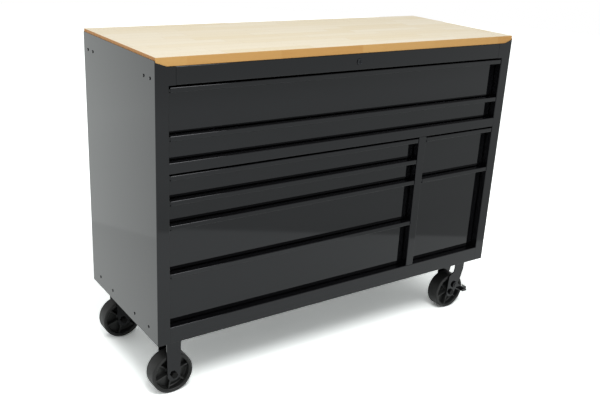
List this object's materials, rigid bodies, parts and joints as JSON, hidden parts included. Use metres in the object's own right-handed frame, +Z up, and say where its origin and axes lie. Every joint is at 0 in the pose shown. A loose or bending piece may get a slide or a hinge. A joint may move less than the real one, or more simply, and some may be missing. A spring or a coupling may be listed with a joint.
{
  "type": "rolling tool cabinet",
  "caption": "Low wide steel drawer cabinet with a wooden worktop, recessed drawer fronts with full-width pull lips, a cam lock, and rigid and braked swivel casters.",
  "frame": {"origin": "floor point under the middle of the cabinet", "axes": "+Z up, the drawers open towards -Y, +X to the right seen from the front"},
  "size_m": [1.325, 0.512, 1.0255],
  "materials": {
    "black_powder_coat": "semi-gloss powder coat",
    "zinc_plated_steel": "bright zinc plate",
    "black_tread_rubber": "matte",
    "black_moulded_nylon": "moulded satin",
    "clear_coated_hardwood": "clear satin coat",
    "chrome_plated_lock": "polished"
  },
  "bodies": {
    "cabinet": {"left_side_panel": "black_powder_coat", "right_side_panel": "black_powder_coat", "left_inner_wall": "black_powder_coat", "right_inner_wall": "black_powder_coat", "centre_partition": "black_powder_coat", "back_panel": "black_powder_coat", "base_pan": "black_powder_coat", "bottom_rail": "black_powder_coat", "middle_rail": "black_powder_coat", "middle_shelf": "black_powder_coat", "top_rail": "black_powder_coat", "rear_top_rail": "black_powder_coat", "worktop": "clear_coated_hardwood", "body_screws": "black_powder_coat", "fixed_slides": "zinc_plated_steel", "lock_housing": "chrome_plated_lock", "rigid_forks": "black_powder_coat", "rigid_axles": "zinc_plated_steel", "swivel_plates": "black_powder_coat", "caster_bolts": "zinc_plated_steel"},
    "lock": {"lock_plug": "chrome_plated_lock", "lock_cam": "zinc_plated_steel"},
    "wide_drawer_1": {"wide_drawer_1": "black_powder_coat", "wide_drawer_1_inner_slides": "zinc_plated_steel"},
    "wide_drawer_1_slide_stage": {"wide_drawer_1_middle_slides": "zinc_plated_steel"},
    "wide_drawer_2": {"wide_drawer_2": "black_powder_coat", "wide_drawer_2_inner_slides": "zinc_plated_steel"},
    "wide_drawer_2_slide_stage": {"wide_drawer_2_middle_slides": "zinc_plated_steel"},
    "left_drawer_1": {"left_drawer_1": "black_powder_coat", "left_drawer_1_inner_slides": "zinc_plated_steel"},
    "left_drawer_1_slide_stage": {"left_drawer_1_middle_slides": "zinc_plated_steel"},
    "left_drawer_2": {"left_drawer_2": "black_powder_coat", "left_drawer_2_inner_slides": "zinc_plated_steel"},
    "left_drawer_2_slide_stage": {"left_drawer_2_middle_slides": "zinc_plated_steel"},
    "left_drawer_3": {"left_drawer_3": "black_powder_coat", "left_drawer_3_inner_slides": "zinc_plated_steel"},
    "left_drawer_3_slide_stage": {"left_drawer_3_middle_slides": "zinc_plated_steel"},
    "left_drawer_4": {"left_drawer_4": "black_powder_coat", "left_drawer_4_inner_slides": "zinc_plated_steel"},
    "left_drawer_4_slide_stage": {"left_drawer_4_middle_slides": "zinc_plated_steel"},
    "right_drawer_1": {"right_drawer_1": "black_powder_coat", "right_drawer_1_inner_slides": "zinc_plated_steel"},
    "right_drawer_1_slide_stage": {"right_drawer_1_middle_slides": "zinc_plated_steel"},
    "right_drawer_2": {"right_drawer_2": "black_powder_coat", "right_drawer_2_inner_slides": "zinc_plated_steel"},
    "right_drawer_2_slide_stage": {"right_drawer_2_middle_slides": "zinc_plated_steel"},
    "front_rigid_wheel": {"front_rigid_tread": "black_tread_rubber", "front_rigid_wheel_core": "black_moulded_nylon"},
    "front_swivel": {"front_swivel_fork": "black_powder_coat", "front_swivel_axle": "zinc_plated_steel"},
    "front_swivel_wheel": {"front_swivel_tread": "black_tread_rubber", "front_swivel_wheel_core": "black_moulded_nylon"},
    "front_brake": {"front_brake_lever": "black_powder_coat"},
    "rear_rigid_wheel": {"rear_rigid_tread": "black_tread_rubber", "rear_rigid_wheel_core": "black_moulded_nylon"},
    "rear_swivel": {"rear_swivel_fork": "black_powder_coat", "rear_swivel_axle": "zinc_plated_steel"},
    "rear_swivel_wheel": {"rear_swivel_tread": "black_tread_rubber", "rear_swivel_wheel_core": "black_moulded_nylon"},
    "rear_brake": {"rear_brake_lever": "black_powder_coat"}
  },
  "joints": [
    {"name": "wide_drawer_1_slide", "type": "slide", "parent": "cabinet", "child": "wide_drawer_1", "axis": [0, -1, 0], "range_m": [0, 0.42]},
    {"name": "wide_drawer_1_stage_slide", "type": "slide", "parent": "cabinet", "child": "wide_drawer_1_slide_stage", "axis": [0, -1, 0], "range_m": [0, 0.21]},
    {"name": "wide_drawer_2_slide", "type": "slide", "parent": "cabinet", "child": "wide_drawer_2", "axis": [0, -1, 0], "range_m": [0, 0.42]},
    {"name": "wide_drawer_2_stage_slide", "type": "slide", "parent": "cabinet", "child": "wide_drawer_2_slide_stage", "axis": [0, -1, 0], "range_m": [0, 0.21]},
    {"name": "left_drawer_1_slide", "type": "slide", "parent": "cabinet", "child": "left_drawer_1", "axis": [0, -1, 0], "range_m": [0, 0.42]},
    {"name": "left_drawer_1_stage_slide", "type": "slide", "parent": "cabinet", "child": "left_drawer_1_slide_stage", "axis": [0, -1, 0], "range_m": [0, 0.21]},
    {"name": "left_drawer_2_slide", "type": "slide", "parent": "cabinet", "child": "left_drawer_2", "axis": [0, -1, 0], "range_m": [0, 0.42]},
    {"name": "left_drawer_2_stage_slide", "type": "slide", "parent": "cabinet", "child": "left_drawer_2_slide_stage", "axis": [0, -1, 0], "range_m": [0, 0.21]},
    {"name": "left_drawer_3_slide", "type": "slide", "parent": "cabinet", "child": "left_drawer_3", "axis": [0, -1, 0], "range_m": [0, 0.42]},
    {"name": "left_drawer_3_stage_slide", "type": "slide", "parent": "cabinet", "child": "left_drawer_3_slide_stage", "axis": [0, -1, 0], "range_m": [0, 0.21]},
    {"name": "left_drawer_4_slide", "type": "slide", "parent": "cabinet", "child": "left_drawer_4", "axis": [0, -1, 0], "range_m": [0, 0.42]},
    {"name": "left_drawer_4_stage_slide", "type": "slide", "parent": "cabinet", "child": "left_drawer_4_slide_stage", "axis": [0, -1, 0], "range_m": [0, 0.21]},
    {"name": "right_drawer_1_slide", "type": "slide", "parent": "cabinet", "child": "right_drawer_1", "axis": [0, -1, 0], "range_m": [0, 0.42]},
    {"name": "right_drawer_1_stage_slide", "type": "slide", "parent": "cabinet", "child": "right_drawer_1_slide_stage", "axis": [0, -1, 0], "range_m": [0, 0.21]},
    {"name": "right_drawer_2_slide", "type": "slide", "parent": "cabinet", "child": "right_drawer_2", "axis": [0, -1, 0], "range_m": [0, 0.42]},
    {"name": "right_drawer_2_stage_slide", "type": "slide", "parent": "cabinet", "child": "right_drawer_2_slide_stage", "axis": [0, -1, 0], "range_m": [0, 0.21]},
    {"name": "front_rigid_wheel_spin", "type": "hinge", "parent": "cabinet", "child": "front_rigid_wheel", "pos_m": [-0.596, -0.192, 0.066], "axis": [0, 1, 0], "continuous": true},
    {"name": "front_swivel_turn", "type": "hinge", "parent": "cabinet", "child": "front_swivel", "pos_m": [0.5825, -0.192, 0.1795], "axis": [0, 0, 1], "continuous": true},
    {"name": "front_swivel_wheel_spin", "type": "hinge", "parent": "front_swivel", "child": "front_swivel_wheel", "pos_m": [0.55, -0.192, 0.066], "axis": [0, 1, 0], "continuous": true},
    {"name": "front_brake_press", "type": "hinge", "parent": "front_swivel", "child": "front_brake", "pos_m": [0.566, -0.228, 0.092], "axis": [0, 1, 0], "range_deg": [0, 12]},
    {"name": "rear_rigid_wheel_spin", "type": "hinge", "parent": "cabinet", "child": "rear_rigid_wheel", "pos_m": [-0.596, 0.192, 0.066], "axis": [0, 1, 0], "continuous": true},
    {"name": "rear_swivel_turn", "type": "hinge", "parent": "cabinet", "child": "rear_swivel", "pos_m": [0.5825, 0.192, 0.1795], "axis": [0, 0, 1], "continuous": true},
    {"name": "rear_swivel_wheel_spin", "type": "hinge", "parent": "rear_swivel", "child": "rear_swivel_wheel", "pos_m": [0.55, 0.192, 0.066], "axis": [0, 1, 0], "continuous": true},
    {"name": "rear_brake_press", "type": "hinge", "parent": "rear_swivel", "child": "rear_brake", "pos_m": [0.566, 0.228, 0.092], "axis": [0, 1, 0], "range_deg": [0, 12]},
    {"name": "lock_turn", "type": "hinge", "parent": "cabinet", "child": "lock", "pos_m": [0, -0.254, 0.9758], "axis": [0, -1, 0], "range_deg": [0, 90]}
  ],
  "couplings": [
    {"joint": "wide_drawer_1_stage_slide", "follows": "wide_drawer_1_slide", "ratio": 0.5},
    {"joint": "wide_drawer_2_stage_slide", "follows": "wide_drawer_2_slide", "ratio": 0.5},
    {"joint": "left_drawer_1_stage_slide", "follows": "left_drawer_1_slide", "ratio": 0.5},
    {"joint": "left_drawer_2_stage_slide", "follows": "left_drawer_2_slide", "ratio": 0.5},
    {"joint": "left_drawer_3_stage_slide", "follows": "left_drawer_3_slide", "ratio": 0.5},
    {"joint": "left_drawer_4_stage_slide", "follows": "left_drawer_4_slide", "ratio": 0.5},
    {"joint": "right_drawer_1_stage_slide", "follows": "right_drawer_1_slide", "ratio": 0.5},
    {"joint": "right_drawer_2_stage_slide", "follows": "right_drawer_2_slide", "ratio": 0.5}
  ]
}
